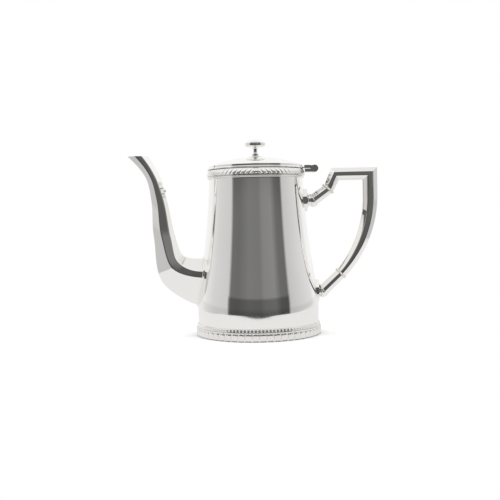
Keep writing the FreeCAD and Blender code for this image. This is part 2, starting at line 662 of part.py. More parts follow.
def socket(label, ring, into, root_up, collar_reach, foot_run):
    # the flared foot on the pot, the stub, and the slanting tube up to the insulating ring
    bend = "((90 + %s) / 2)" % into
    stretch = "cos((90 - %s) / 2)" % into
    rows = [(collar_reach + " - 24", root_up, "90", "root_foot_half", "root_foot_wide"),
            ("%s - %s" % (collar_reach, foot_run), root_up, "90", "root_foot_half", "root_foot_wide"),
            ("%s - %s + foot_flare" % (collar_reach, foot_run), root_up, "90", "stub_half", "stub_wide"),
            (collar_reach, root_up, bend, "stub_half / " + stretch, "stub_wide"), ring]
    solid = lofted(label + "_solid", row_of(label + "_solid", rows, "0"), True)
    collar_rows = [(collar_reach + " - stub_collar_half", root_up, "90", "stub_half + stub_collar_grow",
                    "stub_wide + stub_collar_grow"),
                   (collar_reach + " + stub_collar_half", root_up, "90", "stub_half + stub_collar_grow",
                    "stub_wide + stub_collar_grow")]
    collar = lofted(label + "_collar", row_of(label + "_collar", collar_rows, "0"), True)
    cast = joined(label + "_cast", [solid, collar])
    start = along(ring, into, "-spigot_length - 0.5")
    bore_rows = [(start[0], start[1], into, half_end, "end_wide"), ring]
    bore = lofted(label + "_bore", row_of(label + "_bore", bore_rows, "handle_wall"), True)
    hollow = boolean("Cut", label + "_hollow", cast, bore)
    cut = boolean("Cut", label + "_cut", hollow, cutters)
    return boolean("Cut", label, cut, pot_skin)


upper_socket = socket("upper_socket", upper_ring, tube_heading, "upper_root_height", "upper_collar_reach",
                      "upper_foot_run")
lower_tube = "(180 + %s)" % foot_heading
lower_turned = ("lower_ring_reach", "lower_ring_height", "(%s - 180)" % lower_heading, lower_ring[3],
                "end_wide")
lower_socket = socket("lower_socket", lower_turned, lower_tube, "lower_root_height", "lower_collar_reach",
                      "lower_foot_run")


def insulator(label, ring, before, after):
    low = along(ring, before, "-spigot_length")
    high = along(ring, after, "spigot_length")
    spigot_rows = [(low[0], low[1], before, half_end, "end_wide"), ring,
                   (high[0], high[1], after, half_end, "end_wide")]
    spigot_inset = "handle_wall + solder_gap"
    spigot = lofted(label + "_spigot", row_of(label + "_spigot", spigot_rows, spigot_inset), True)
    rows = []
    for reach in ("-ring_thick / 2", "ring_thick / 2"):
        spot = along(ring, ring[2], reach)
        rows.append((spot[0], spot[1], ring[2], ring[3] + " + ring_grow", "end_wide + ring_grow"))
    flange = lofted(label + "_flange", row_of(label + "_flange", rows, "0"), True)
    whole = joined(label + "_whole", [spigot, flange])
    return boolean("Cut", label, whole, pin_drill)


upper_insulator = insulator("upper_insulator", upper_ring, tube_heading, rise_heading)
lower_insulator = insulator("lower_insulator", lower_ring, back_heading, lower_foot_heading)

# spout bead: a small ball soldered on the spine of the spout
bead_ball = doc.addObject("Part::Sphere", "bead_ball")
bead_ball.setExpression("Radius", bind("bead_radius"))
place(bead_ball, "-bead_reach", "0", "bead_height")
spout_bead = boolean("Cut", "spout_bead", bead_ball, spout_clear)

nodes = [body_shell, bottom_plate, foot_border, rim_border, lid_cover, lid_bezel, finial_rosette, finial_knob,
         finial_washer, finial_nut, hinge_bracket, hinge_leaf, hinge_pin, spout_near, spout_far, spout_flange,
         spout_bead, strainer_grid, handle_near, handle_far, upper_socket, lower_socket, upper_insulator,
         lower_insulator, handle_pins]

doc.recompute()
for item in doc.Objects:
    if "Invalid" in item.State or "Error" in item.State:
        raise RuntimeError("not rebuilt: " + item.Name)
os.makedirs("parts", exist_ok=True)
for node in nodes:
    if node.Shape.isNull() or not node.Shape.isValid() or node.Shape.Volume <= 0:
        raise RuntimeError("bad solid: " + node.Label)
    box = node.Shape.optimalBoundingBox(False)
    print("%-18s solids %d  volume %9.1f  x %7.2f %7.2f  y %6.2f %6.2f  z %7.2f %7.2f" % (
        node.Label, len(node.Shape.Solids), node.Shape.Volume, box.XMin, box.XMax, box.YMin, box.YMax,
        box.ZMin, box.ZMax))
    node.Shape.exportStep("parts/%s.step" % node.Label)
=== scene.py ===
import bpy
import numpy as np
from math import radians
from mathutils import Euler, Matrix


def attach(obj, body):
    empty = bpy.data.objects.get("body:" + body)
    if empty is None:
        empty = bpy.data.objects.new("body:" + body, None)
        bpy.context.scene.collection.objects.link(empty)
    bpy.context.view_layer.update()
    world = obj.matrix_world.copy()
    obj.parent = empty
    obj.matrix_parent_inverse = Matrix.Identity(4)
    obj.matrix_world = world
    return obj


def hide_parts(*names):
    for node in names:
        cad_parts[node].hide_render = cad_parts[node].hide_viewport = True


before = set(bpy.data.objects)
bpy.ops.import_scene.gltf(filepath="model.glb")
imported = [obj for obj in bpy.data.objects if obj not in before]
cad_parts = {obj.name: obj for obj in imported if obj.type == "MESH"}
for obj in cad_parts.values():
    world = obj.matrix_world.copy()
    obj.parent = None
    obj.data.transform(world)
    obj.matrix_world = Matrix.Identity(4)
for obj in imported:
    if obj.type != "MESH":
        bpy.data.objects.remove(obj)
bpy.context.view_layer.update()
print("frame loaded:", len(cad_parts), "nodes")

mm = 0.001


def srgb(code):
    # linear colour of a hex code: a short straight start, then a power of 2.4
    parts = [int(code[k:k + 2], 16) / 255 for k in (1, 3, 5)]
    return tuple(p / 12.92 if p <= 0.04045 else ((p + 0.055) / 1.055) ** 2.4 for p in parts) + (1.0,)


def addNode(tree, kind, settings=None):
    # one node; a setting is an attribute, an input's value, or a node or socket to link to that input
    node = tree.nodes.new(kind)
    for key, value in (settings or {}).items():
        if isinstance(value, bpy.types.Node):
            value = next(socket for socket in value.outputs if socket.enabled)
        if isinstance(value, bpy.types.NodeSocket):
            tree.links.new(value, node.inputs[key])
        elif isinstance(key, str) and hasattr(node, key):
            setattr(node, key, value)
        else:
            node.inputs[key].default_value = value
    return node


def mixNode(tree, share, first, second, blend="MIX"):
    # colour from first to second by the share; 0, 6 and 7 are the mix node's share and colour sockets
    return addNode(tree, "ShaderNodeMix", {"data_type": "RGBA", "blend_type": blend,
                                           0: share, 6: first, 7: second})


def mathNode(tree, operation, *values):
    # one sum on numbers or sockets, given in the order of the node's inputs
    return addNode(tree, "ShaderNodeMath", {"operation": operation, **dict(enumerate(values))})


def rangeNode(tree, value, start, end, low=0.0, high=1.0):
    # straight ramp from low to high while the value goes from start to end, level outside
    return addNode(tree, "ShaderNodeMapRange", {"From Min": start, "From Max": end, "To Min": low,
                                                "To Max": high, "Value": value})


def newMaterial(name):
    material = bpy.data.materials.new(name)
    material.use_nodes = True
    material.node_tree.nodes.clear()
    return material, material.node_tree


# polished silver plate: mirror bright, with hand-polishing lines, faintly dull patches, tarnish and painted
# shade in recesses, gaps and contact lines
# patch, rub, bumpHigh and recessReach are in mm; real polishing lines are too fine to show, so rub is coarser
silverSettings = {"patch": 45.5, "patchDetail": 3.0, "rub": 2.38, "rubDetail": 4.0, "rubGrain": 0.7,
                  "rubStretch": (1.0, 1.0, 0.12), "rubSpan": (0.3, 0.7), "rough": (0.035, 0.075),
                  "bump": 0.02, "bumpHigh": 0.1, "bright": "#f7f6f4", "dull": "#efeeeb", "tarnishAndShade": "#77726a",
                  "recessReach": 1.2, "recess": (0.1, 0.55)}
# cast border: the same plate on a slightly pitted casting, softer in its shine, with stronger painted shade
# and tarnish between the leaves
castSettings = dict(silverSettings, rub=1.11, rough=(0.09, 0.17), bump=0.08, dull="#e4e2dd",
                    tarnishAndShade="#837e76", recess=(0.28, 0.8))


def makeSilver(name, settings):
    material, tree = newMaterial(name)
    place = addNode(tree, "ShaderNodeTexCoord").outputs["Object"]
    patches = addNode(tree, "ShaderNodeTexNoise", {"Scale": 1 / (settings["patch"] * mm), "Vector": place,
                                                   "Detail": settings["patchDetail"]}).outputs["Fac"]
    drawn = addNode(tree, "ShaderNodeMapping", {"Scale": settings["rubStretch"], "Vector": place})
    rubs = addNode(tree, "ShaderNodeTexNoise", {"Scale": 1 / (settings["rub"] * mm), "Vector": drawn,
                                                "Detail": settings["rubDetail"],
                                                "Roughness": settings["rubGrain"]}).outputs["Fac"]
    rough = rangeNode(tree, rubs, *settings["rubSpan"], *settings["rough"])
    tint = mixNode(tree, patches, srgb(settings["bright"]), srgb(settings["dull"]))
    # painted shade: ambient occlusion within recessReach pulls the colour towards tarnishAndShade in
    # recesses, gaps and where parts meet, standing in for tarnish and for shadow lines
    recess = addNode(tree, "ShaderNodeAmbientOcclusion", {"samples": 4,
                                                          "Distance": settings["recessReach"] * mm})
    openness = rangeNode(tree, recess.outputs["AO"], *settings["recess"])
    tone = mixNode(tree, openness, srgb(settings["tarnishAndShade"]), tint)
    bump = addNode(tree, "ShaderNodeBump", {"Strength": settings["bump"], "Height": rubs,
                                            "Distance": settings["bumpHigh"] * mm})
    shader = addNode(tree, "ShaderNodeBsdfPrincipled", {"Metallic": 1.0, "Base Color": tone,
                                                        "Roughness": rough, "Normal": bump})
    addNode(tree, "ShaderNodeOutputMaterial", {"Surface": shader})
    return material


silver = makeSilver("polishedSilverPlate", silverSettings)
castSilver = makeSilver("castSilverBorder", castSettings)

# moulded ivory-coloured resin of the insulating rings: satin, with faint flow lines, flow in mm between them
resinSettings = {"flow": 1.96, "stray": 6.0, "flowDetail": 2.0, "pale": "#ece8de", "deep": "#ddd6c6",
                 "rough": 0.32, "coat": 0.2}


def makeResin(settings):
    material, tree = newMaterial("ivoryResin")
    place = addNode(tree, "ShaderNodeTexCoord").outputs["Object"]
    # a wave texture of scale 1 repeats every 2 pi / 20
    flow = addNode(tree, "ShaderNodeTexWave", {"Scale": 2 * np.pi / 20 / (settings["flow"] * mm),
                                               "Distortion": settings["stray"],
                                               "Detail": settings["flowDetail"], "Vector": place})
    tint = mixNode(tree, flow.outputs["Fac"], srgb(settings["pale"]), srgb(settings["deep"]))
    shader = addNode(tree, "ShaderNodeBsdfPrincipled", {"Roughness": settings["rough"], "Base Color": tint,
                                                        "Coat Weight": settings["coat"]})
    addNode(tree, "ShaderNodeOutputMaterial", {"Surface": shader})
    return material


resin = makeResin(resinSettings)
print("materials made")


def addPiece(name, points, faces, settings, sharp):
    # one mesh from points in mm, tied to its body, with its material in a slot, and the CAD nodes that it
    # stands for hidden
    mesh = bpy.data.meshes.new(name)
    mesh.from_pydata((np.asarray(points) * mm).tolist(), [], faces)
    mesh.validate()
    mesh.shade_smooth()
    mesh.set_sharp_from_angle(angle=radians(sharp))
    piece = bpy.data.objects.new(name, mesh)
    bpy.context.scene.collection.objects.link(piece)
    mesh.materials.append(settings["material"])
    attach(piece, settings["body"])
    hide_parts(*settings["nodes"])
    return piece


def gridFaces(rows, cols, closeRows):
    # quads of a grid whose columns close on themselves, and whose rows do if asked
    r = np.arange(rows if closeRows else rows - 1)[:, None]
    c = np.arange(cols)[None, :]
    nextRow = (r + 1) % rows
    nextCol = (c + 1) % cols
    quads = np.stack([r * cols + c, r * cols + nextCol, nextRow * cols + nextCol, nextRow * cols + c], -1)
    return quads.reshape(-1, 4).tolist()


def capFaces(rows, cols):
    # triangles from a grid's first and last row to two points that follow the grid
    k = np.arange(cols)
    after = (k + 1) % cols
    tip = np.full(cols, rows * cols)
    last = (rows - 1) * cols
    fans = [np.column_stack([tip, after, k]), np.column_stack([tip + 1, last + k, last + after])]
    return np.vstack(fans).tolist()


# longest stretch in mm and largest turn of an arc's steps, and their least number
arcSettings = {"stretch": 1.2, "turn": 0.12, "least": 6}


def profile(*steps, base=0.0):
    # half section in mm from corners (r, z) and arcs (middle r, middle z, r, z), heights from the base;
    # an arc is on the circle through its three points, the centre equally far from them all
    line = [np.array(steps[0], float)]
    for step in steps[1:]:
        if len(step) == 2:
            line.append(np.array(step, float))
            continue
        a, b, c = line[-1], np.array(step[:2], float), np.array(step[2:], float)
        centre = np.linalg.solve(np.array([b - a, c - a]) * 2, [b @ b - a @ a, c @ c - a @ a])
        start, middle, end = [np.arctan2(*(p - centre)[::-1]) for p in (a, b, c)]
        middle = start + (middle - start + np.pi) % (2 * np.pi) - np.pi
        end = middle + (end - middle + np.pi) % (2 * np.pi) - np.pi
        radius, sweep = np.linalg.norm(a - centre), abs(end - start)
        count = max(arcSettings["least"], int(sweep * radius / arcSettings["stretch"]),
                    int(sweep / arcSettings["turn"]))
        turn = np.linspace(start, end, count + 1)[1:]
        line.extend(centre + radius * np.column_stack([np.cos(turn), np.sin(turn)]))
    return np.array(line) + [0, base]


def lathe(name, line, settings, poles=False):
    # surface of revolution: (r cos a, r sin a, z) of the half section, a going once round
    turn = np.linspace(0, 2 * np.pi, settings["around"], endpoint=False)
    ring = line[1:-1] if poles else line
    points = np.stack([ring[:, :1] * np.cos(turn), ring[:, :1] * np.sin(turn), ring[:, 1:] + 0 * turn], -1)
    rows, cols = points.shape[:2]
    points = points.reshape(-1, 3)
    faces = gridFaces(rows, cols, not poles)
    if poles:
        points = np.vstack([points, [[0, 0, line[0][1]], [0, 0, line[-1][1]]]])
        faces += capFaces(rows, cols)
    return addPiece(name, points, faces, settings, settings["sharp"])


plate = {"material": silver, "body": "pot", "slot": "silver_plate", "sharp": 32}

# pot: upright band, gentle turn and hollow taper, as corners and arcs of its outside in mm
potSettings = dict(plate, around=288, wall=1.2, nodes=["body_shell"],
                   line=[(55.4, 1.0), (55.4, 22.2), (54.98, 32.1, 53.72, 42.0), (46.81, 91.85, 42.9, 141.7),
                         (42.9, 149.35)])


def potLine(inset):
    # the pot's half section with every radius made smaller by the inset
    shift = np.array([inset, 0, inset, 0])
    return profile(*[np.array(step) - shift[:len(step)] for step in potSettings["line"]])


potOutside = potLine(0.0)
pot = lathe("pot_body", np.vstack([potOutside, potLine(potSettings["wall"])[::-1]]), potSettings)


def potRadius(z):
    # outside radius of the pot at a height, read along its half section
    return np.interp(z, potOutside[:, 1], potOutside[:, 0])


# spout hole through the pot's wall: a round cutter taken out of the sheet, then thrown away
holeSettings = {"radius": 12.0, "high": 48.8, "from": -66.5, "to": -26.5, "around": 72}


def pierce(piece, settings):
    # cutter: a circle (r cos a, high + r sin a) across the x axis, drawn out from one x to the other
    turn = np.linspace(0, 2 * np.pi, settings["around"], endpoint=False)
    ring = np.column_stack([0 * turn, settings["radius"] * np.cos(turn),
                            settings["high"] + settings["radius"] * np.sin(turn)])
    ends = np.vstack([ring + [settings["from"], 0, 0], ring + [settings["to"], 0, 0]])
    count = len(turn)
    faces = gridFaces(2, count, False) + [list(range(count))[::-1], list(range(count, 2 * count))]
    cutter = bpy.data.meshes.new("cutter")
    cutter.from_pydata((ends * mm).tolist(), [], faces)
    punch = bpy.data.objects.new("punch", cutter)
    bpy.context.scene.collection.objects.link(punch)
    cut = piece.modifiers.new("spoutHole", "BOOLEAN")
    cut.operation, cut.solver, cut.object = "DIFFERENCE", "EXACT", punch
    graph = bpy.context.evaluated_depsgraph_get()
    pierced = bpy.data.meshes.new_from_object(piece.evaluated_get(graph), preserve_all_data_layers=True,
                                              depsgraph=graph)
    piece.modifiers.remove(cut)
    piece.data = pierced
    bpy.data.objects.remove(punch)


pierce(pot, holeSettings)

# lid: flange edge, step, low dome and a flat for the finial; low is the flange's underside, high the flat's
# height over it
lidSettings = dict(plate, around=288, body="lid", nodes=["lid_cover"], low=150.2, high=11.0, sheet=1.2)
lidTop, lidUnder = lidSettings["high"], lidSettings["high"] - lidSettings["sheet"]
lathe("lid_dome", profile((39.1, 0), (44.3, 0), (44.6, 0.3), (44.6, 0.75), (44.35, 1.25, 43.5, 1.5),
                          (43.3, 1.55), (43.25, 3.1), (42.5, 3.1), (25.8, 8.5, 9.2, lidTop), (2.05, lidTop),
                          (2.05, lidUnder), (9.2, lidUnder), (24.15, 7.0, 39.1, 1.2),
                          base=lidSettings["low"]), lidSettings)

# finial: rosette with a hollowed cone, then bead, neck and flattened knob with an upright edge
lidFlat = lidSettings["low"] + lidSettings["high"]
rosetteSettings = dict(plate, around=96, body="lid", nodes=["finial_rosette"])
lathe("finial_rosette_turned", profile((2.05, 0), (6.0, 0), (6.4, 0.45, 5.9, 0.9), (4.3, 1.1, 3.5, 1.7),
                                       (3.5, 2.8), (3.3, 3.0), (2.05, 3.0), base=lidFlat), rosetteSettings)
knobSettings = dict(rosetteSettings, nodes=["finial_knob"])
lathe("finial_knob_turned", profile((0, -6.2), (2.0, -6.2), (2.0, 3.0), (3.0, 3.0), (3.1, 3.4, 2.8, 3.8),
                                    (2.3, 4.2, 2.1, 4.9), (2.1, 8.0), (2.8, 9.0, 4.4, 9.5),
                                    (7.5, 9.8, 9.5, 10.7), (9.6, 11.9, 9.5, 13.1), (4.96, 15.85, 0, 16.8),
                                    base=lidFlat), knobSettings, True)
print("turned pieces made")


def even(line, step):
    # half section resampled so that no stretch is longer than the step
    parts = [line[:1]]
    for a, b in zip(line[:-1], line[1:]):
        count = max(1, int(np.ceil(np.linalg.norm(b - a) / step)))
        parts.append(a + (b - a) * np.linspace(0, 1, count + 1)[1:, None])
    return np.vstack(parts)


def border(name, line, relief, settings):
    # turned border with carved relief: radius r(z) plus the relief at angle a from the near side and height z
    turn = np.linspace(-np.pi, np.pi, settings["around"], endpoint=False)
    a, z = np.meshgrid(turn, line[:, 1])
    carved = line[:, :1] > settings["carveFrom"]
    shape = line[:, :1] + np.where(carved, relief(a, z, settings), 0)
    points = np.stack([shape * np.sin(a), -shape * np.cos(a), z], -1).reshape(-1, 3)
    return addPiece(name, points, gridFaces(len(line), len(turn), True), settings, settings["sharp"])


# foot border: upright rounded leaves on the wall, and a row of small beads on the shoulder, two to a leaf
footSettings = dict(plate, material=castSilver, sharp=50, around=1120, step=0.32, carveFrom=55.5, radius=57.5,
                    leaves=56, leafDepth=0.8, leafHalf=3.1, leafTip=2.7, leafLow=3.2, leafHigh=5.0,
                    groundLow=0.5, groundHigh=8.02, veinDepth=0.18, veinHalf=0.35, veinFrom=0.15,
                    beadHigh=0.24, beadAt=9.4, beadHalf=0.85, beadTall=0.75, nodes=["foot_border"])


def footRelief(a, z, s):
    # leaf: a long dome, the root of one minus the squares of the way across it and past its straight middle;
    # vein: a narrow bell cut down the leaf's middle; bead: the same dome, small and round
    pitch = 2 * np.pi * s["radius"] / s["leaves"]
    across = ((a * s["leaves"] / (2 * np.pi)) % 1 - 0.5) * pitch
    past = z - np.clip(z, s["leafLow"], s["leafHigh"])
    leaf = 1 - (across / s["leafHalf"]) ** 2 - (past / s["leafTip"]) ** 2
    depth = -s["leafDepth"] * (1 - np.sqrt(np.clip(leaf, 0, 1)))
    vein = -s["veinDepth"] * np.exp(-(across / s["veinHalf"]) ** 2) * (leaf > s["veinFrom"])
    onWall = (z > s["groundLow"]) & (z < s["groundHigh"])
    beadAcross = ((a * s["leaves"] / np.pi) % 1 - 0.5) * pitch / 2
    bead = 1 - (beadAcross / s["beadHalf"]) ** 2 - ((z - s["beadAt"]) / s["beadTall"]) ** 2
    return np.where(onWall, depth + vein, 0) + s["beadHigh"] * np.sqrt(np.clip(bead, 0, 1))


footLine = even(profile((53.4, 0), (56.9, 0), (57.5, 0.6), (57.5, 7.6), (57.45, 7.95, 57.2, 8.0),
                        (56.7, 8.05), (56.3, 10.6), (56.0, 10.95), (55.45, 11.0)), footSettings["step"])
footBack = [[55.45, 0.95], [53.4, 0.95]]
border("foot_leaf_border", np.vstack([footLine, footBack]), footRelief, footSettings)

# rim border: leaning lobes that meet at the near side in two upright ones, over a plain bead
rimSettings = dict(plate, material=castSilver, sharp=50, around=1280, step=0.3, carveFrom=43.7, radius=45.1,
                   middle=147.0, tall=5.2, lobes=64, depth=0.28, lean=0.75, nearAt=1.3, nearHalf=1.25,
                   nearTall=2.0, nearReach=2.6, nodes=["rim_border"])


def rimRelief(a, z, s):
    # lobe: one minus the fourth power of the way from its middle, leaning as the height goes up the band;
    # the two at the near side are flattened half balls; the relief dies away at the band's edges
    share = (z - s["middle"]) / s["tall"]
    phase = np.abs(a) * s["lobes"] / (2 * np.pi) + s["lean"] * share
    lobe = 1 - np.abs(phase % 1 * 2 - 1) ** 4
    aside = np.abs(a) * s["radius"]
    ball = 1 - ((aside - s["nearAt"]) / s["nearHalf"]) ** 2 - ((z - s["middle"]) / s["nearTall"]) ** 2
    lobe = np.where(aside < s["nearReach"], np.sqrt(np.clip(ball, 0, 1)), lobe)
    inBand = np.clip(1 - np.abs(share * 2) ** 6, 0, 1)
    return -s["depth"] * (1 - lobe) * inBand


rimLine = even(profile((42.95, 141.7), (43.9, 141.7), (44.5, 142.55, 43.9, 143.4), (43.9, 144.0),
                       (44.9, 144.25), (45.1, 144.7), (44.95, 145.4), (44.55, 147.3, 43.8, 149.2),
                       (43.5, 149.8), (43.0, 150.1)), rimSettings["step"])
rimBack = [[41.0, 150.1], [41.0, 149.4], [42.95, 149.4]]
border("rim_leaf_border", np.vstack([rimLine, rimBack]), rimRelief, rimSettings)
print("borders made")


def octagon(across, up, heading, half, wide, shares, inset=0.0):
    # eight corners of a faceted section about a point in the middle plane, turned by the heading from upright
    # half and wide are half its height and width, of which bevel, flank, inner and outer flat take shares
    bevel, flank, innerFlat, outerFlat = shares
    tall, wing = 2 * half, wide - inset
    near = [(half - inset, -wing * innerFlat), (half - tall * bevel, -wing),
            (half - tall * (bevel + flank), -wing), (-half + inset, -wing * outerFlat)]
    flat = np.array(near + [(p, -q) for p, q in reversed(near)])
    c, s = np.cos(radians(heading)), np.sin(radians(heading))
    return np.column_stack([across + flat[:, 0] * c, flat[:, 1], up - flat[:, 0] * s])


def smooth(stations, count):
    # Hermite curve through each corner's stations, spaced by the mean distance between sections
    stations = np.asarray(stations)
    steps = np.linalg.norm(np.diff(stations, axis=0), axis=2).mean(1)
    t = np.concatenate([[0], np.cumsum(steps)])
    slope = np.gradient(stations, t, axis=0, edge_order=2)
    at = np.linspace(0, t[-1], count)
    k = np.clip(np.searchsorted(t, at, side="right") - 1, 0, len(t) - 2)
    span = (t[k + 1] - t[k])[:, None, None]
    u = ((at - t[k]) / (t[k + 1] - t[k]))[:, None, None]
    return ((2 * u ** 3 - 3 * u ** 2 + 1) * stations[k] + (u ** 3 - 2 * u ** 2 + u) * span * slope[k]
            + (3 * u ** 2 - 2 * u ** 3) * stations[k + 1] + (u ** 3 - u ** 2) * span * slope[k + 1])


def rounded(corners, radius, count=4, most=0.35):
    # each corner replaced by a short parabola between its two facets, on at most a share of either facet
    before = np.roll(corners, 1, 1) - corners
    after = np.roll(corners, -1, 1) - corners
    lengthBefore = np.linalg.norm(before, axis=2, keepdims=True)
    lengthAfter = np.linalg.norm(after, axis=2, keepdims=True)
    start = corners + before / lengthBefore * np.minimum(radius, lengthBefore * most)
    end = corners + after / lengthAfter * np.minimum(radius, lengthAfter * most)
    u = np.linspace(0, 1, count)[None, None, :, None]
    curve = (start[:, :, None] * (1 - u) ** 2 + corners[:, :, None] * 2 * u * (1 - u)
             + end[:, :, None] * u ** 2)
    return curve.reshape(len(corners), -1, 3)


def tube(name, rings, settings, capped):
    # skin over a row of rings, closed at its ends by fans, or else going on from the last ring to the first
    rows, cols = rings.shape[:2]
    points = rings.reshape(-1, 3)
    faces = gridFaces(rows, cols, not capped)
    if capped:
        points = np.vstack([points, rings[0].mean(0), rings[-1].mean(0)])
        faces += capFaces(rows, cols)
    piece = addPiece(name, points, faces, settings, settings["sharp"])
    weighted = piece.modifiers.new("facets", "WEIGHTED_NORMAL")
    weighted.keep_sharp = True


faceted = dict(plate, sharp=28)

# spout: eight facets through root, elbow, neck, throat and lip, cut to the pot's wall and to a level mouth
# a station is x, z, heading, half height, half width and the facets' shares
rootShares, elbowShares = (0.245, 0.15, 0.34, 0.28), (0.205, 0.25, 0.26, 0.30)
neckShares, lipShares = (0.195, 0.39, 0.26, 0.34), (0.30, 0.31, 0.36, 0.40)
spoutSettings = dict(faceted, rings=150, samples=500, edge=0.9, wall=1.2, mouth=164.4, sunk=0.6,
                     nodes=["spout_near_half", "spout_far_half"],
                     stations=[(-40.5, 48.8, -90, 21.4, 15.5, rootShares),
                               (-56.0, 48.8, -90, 21.4, 15.5, rootShares),
                               (-77.15, 60.1, -55.07, np.hypot(26.2, 18.3) / 2, 11.8, elbowShares),
                               (-84.9, 90.0, -6, 9.75, 8.2, neckShares),
                               (-89.4, 125.2, -8, 7.0, 6.5, neckShares),
                               (-94.2, 144.8, -22, 6.2, 6.0, lipShares),
                               (-107.0, 164.4, -46, 7.0, 6.0, lipShares),
                               (-117.4, 173.77, -49, 7.0, 6.0, lipShares)])


def crossing(values, level):
    # how many steps down each column the values first rise past the level, as a fraction
    k = np.maximum(np.argmax(values > level, axis=0), 1)
    column = np.arange(values.shape[1])
    before, after = values[k - 1, column], values[k, column]
    return k - 1 + np.clip((level - before) / (after - before), 0, 1)


def spoutRings(inset):
    # long lines through the stations, each run from just inside the pot's wall to the mouth's height
    sections = [octagon(*station, inset) for station in spoutSettings["stations"]]
    lines = rounded(smooth(sections, spoutSettings["samples"]), spoutSettings["edge"])
    out = np.hypot(lines[:, :, 0], lines[:, :, 1]) - (potRadius(lines[:, :, 2]) - spoutSettings["sunk"])
    first, last = crossing(out, 0), crossing(lines[:, :, 2], spoutSettings["mouth"])
    at = first + (last - first) * np.linspace(0, 1, spoutSettings["rings"])[:, None]
    k = np.clip(at.astype(int), 0, len(lines) - 2)
    column = np.arange(lines.shape[1])
    part = (at - k)[:, :, None]
    return lines[k, column] * (1 - part) + lines[k + 1, column] * part


spoutShell = np.vstack([spoutRings(0.0), spoutRings(spoutSettings["wall"])[::-1]])
tube("swan_neck_spout", spoutShell[:, ::-1], spoutSettings, False)

# bead on the spout's spine: a small ball sunk into the inner facet, (sin b, cos b cos a, cos b sin a)
beadSettings = dict(faceted, around=40, rings=23, radius=2.0, spot=(-84.3, 0.0, 132.5), nodes=["spout_bead"])
rise, turn = np.meshgrid(np.linspace(-np.pi / 2, np.pi / 2, beadSettings["rings"] + 2)[1:-1],
                         np.linspace(0, 2 * np.pi, beadSettings["around"], endpoint=False), indexing="ij")
ball = np.stack([np.sin(rise), np.cos(rise) * np.cos(turn), np.cos(rise) * np.sin(turn)], -1)
tube("spout_spine_bead", np.array(beadSettings["spot"]) + beadSettings["radius"] * ball, beadSettings, True)

# spout flange: thin collar that lies on the pot round the spout's root; a step is how far the collar reaches
# past the root and how far it stands off the wall
flangeSettings = dict(plate, sharp=40, corner=2.0, cornerPoints=6, split=6, nodes=["spout_flange"],
                      steps=[(-0.6, -0.4), (1.6, -0.4), (1.6, 0.6), (1.45, 0.95), (1.1, 1.15), (0.5, 1.2),
                             (-0.6, 1.2)])


def flangeRing(grow, proud):
    # the root's section made larger and laid on the pot: x squared is the wall's radius squared less y's
    up, heading, half, wide, shares = spoutSettings["stations"][0][1:]
    section = octagon(0, up, heading, half + grow, wide + grow, shares)
    flat = rounded(section[None], flangeSettings["corner"], flangeSettings["cornerPoints"])[0]
    part = np.arange(flangeSettings["split"])[:, None] / flangeSettings["split"]
    dense = np.vstack([a + (b - a) * part for a, b in zip(flat, np.roll(flat, -1, 0))])
    dense[:, 0] = -np.sqrt(np.maximum((potRadius(dense[:, 2]) + proud) ** 2 - dense[:, 1] ** 2, 0))
    return dense


flangeRings = np.stack([flangeRing(*step) for step in flangeSettings["steps"]])
tube("spout_root_flange", flangeRings[:, ::-1], flangeSettings, False)
print("spout made")

# handle: rise, bar and back with sharp mitres, the back an arc that narrows to the lower ring
# gap is from a ring's middle to the handle's end; corner is square to the back's mitre, as long as its cut;
# the inner flat narrows from backShares to shares at narrowFrom, a share of the back; spots are x and z in mm
handleSettings = dict(faceted, edge=0.9, gap=1.0, endHalf=5.0, endWide=4.7, barHalf=5.75, barWide=5.6,
                      backHalf=6.9, backTop=125.0, backStations=41, corner=(11.5, -13.8), narrowFrom=0.2,
                      narrowOver=0.025, shares=(0.33, 0.34, 0.18, 0.36), backShares=(0.33, 0.34, 0.43, 0.36),
                      nodes=["handle_near_half", "handle_far_half", "handle_pins"])
upperRing, lowerRing = np.array([66.0, 131.4]), np.array([76.5, 53.6])
barStart, back = np.array([72.4, 144.7]), np.array([104.4, 144.7])
upperCollar, lowerCollar = np.array([51.4, 121.3]), np.array([59.0, 38.1])


def headingOf(step):
    # degrees from upright of a step in x and z
    return np.degrees(np.arctan2(step[0], step[1]))


def along(spot, heading, reach):
    # the spot moved by the reach: sine of the heading sideways, cosine up
    return spot + reach * np.array([np.sin(radians(heading)), np.cos(radians(heading))])


def mitre(half, first, second):
    # half height of a section cut midway between two headings: half over the cosine of half the turn
    return half / np.cos(radians((first - second) / 2))


tubeHeading, riseHeading = headingOf(upperRing - upperCollar), headingOf(barStart - upperRing)
ringHeading = (tubeHeading + riseHeading) / 2
ringHalf = mitre(handleSettings["endHalf"], tubeHeading, riseHeading)
cornerHeading = (riseHeading + 90) / 2
cornerHalf = mitre(handleSettings["barHalf"], 90, riseHeading)
backDrop = handleSettings["backTop"] - lowerRing[1]
backTurn = 2 * headingOf((back[0] - lowerRing[0], backDrop))
backBend = backDrop / np.sin(radians(backTurn))
footHeading = 180 + headingOf(lowerCollar - lowerRing)
lowerHeading = (backTurn + footHeading) / 2
lowerHalf = mitre(handleSettings["endHalf"], backTurn, footHeading)


